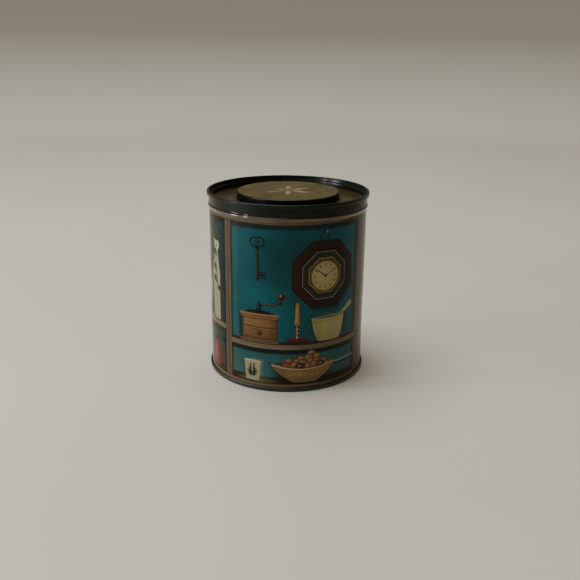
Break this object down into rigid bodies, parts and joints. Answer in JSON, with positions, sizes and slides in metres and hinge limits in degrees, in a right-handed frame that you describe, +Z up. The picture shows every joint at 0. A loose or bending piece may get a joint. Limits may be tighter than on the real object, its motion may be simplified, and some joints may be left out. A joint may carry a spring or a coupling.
{
  "type": "coffee tin",
  "caption": "Round tinplate storage tin with double-seamed ends and a lift-off lid that has a recessed top and a raised round centre.",
  "frame": {"origin": "centre of the ring that the tin stands on", "axes": "+Z up along the tin's axis, -Y towards the middle of the printed front, +X to its right; the side seam is at the back right"},
  "size_m": [0.133, 0.133, 0.1515],
  "materials": {
    "printed_tinplate": "glossy lithographed tinplate",
    "dark_green_tinplate": "glossy dark green enamel on tinplate",
    "gold_lacquered_tinplate": "gold lacquer and print on tinplate, worn",
    "dark_tinplate": "dark lacquered tinplate, worn",
    "seam_compound": "matt dried sealing compound",
    "solder": "dull grey solder"
  },
  "bodies": {
    "canister": {"body_wall": "printed_tinplate", "bottom_end": "dark_tinplate", "bottom_seam_compound": "seam_compound", "side_seam_solder": "solder"},
    "lid": {"lid_cover": "gold_lacquered_tinplate", "lid_skirt": "dark_green_tinplate", "lid_seam_compound": "seam_compound", "lid_skirt_solder": "solder"}
  },
  "joints": [
    {"name": "lid_lift", "type": "slide", "parent": "canister", "child": "lid", "axis": [0, 0, 1], "range_m": [0, 0.08]}
  ]
}
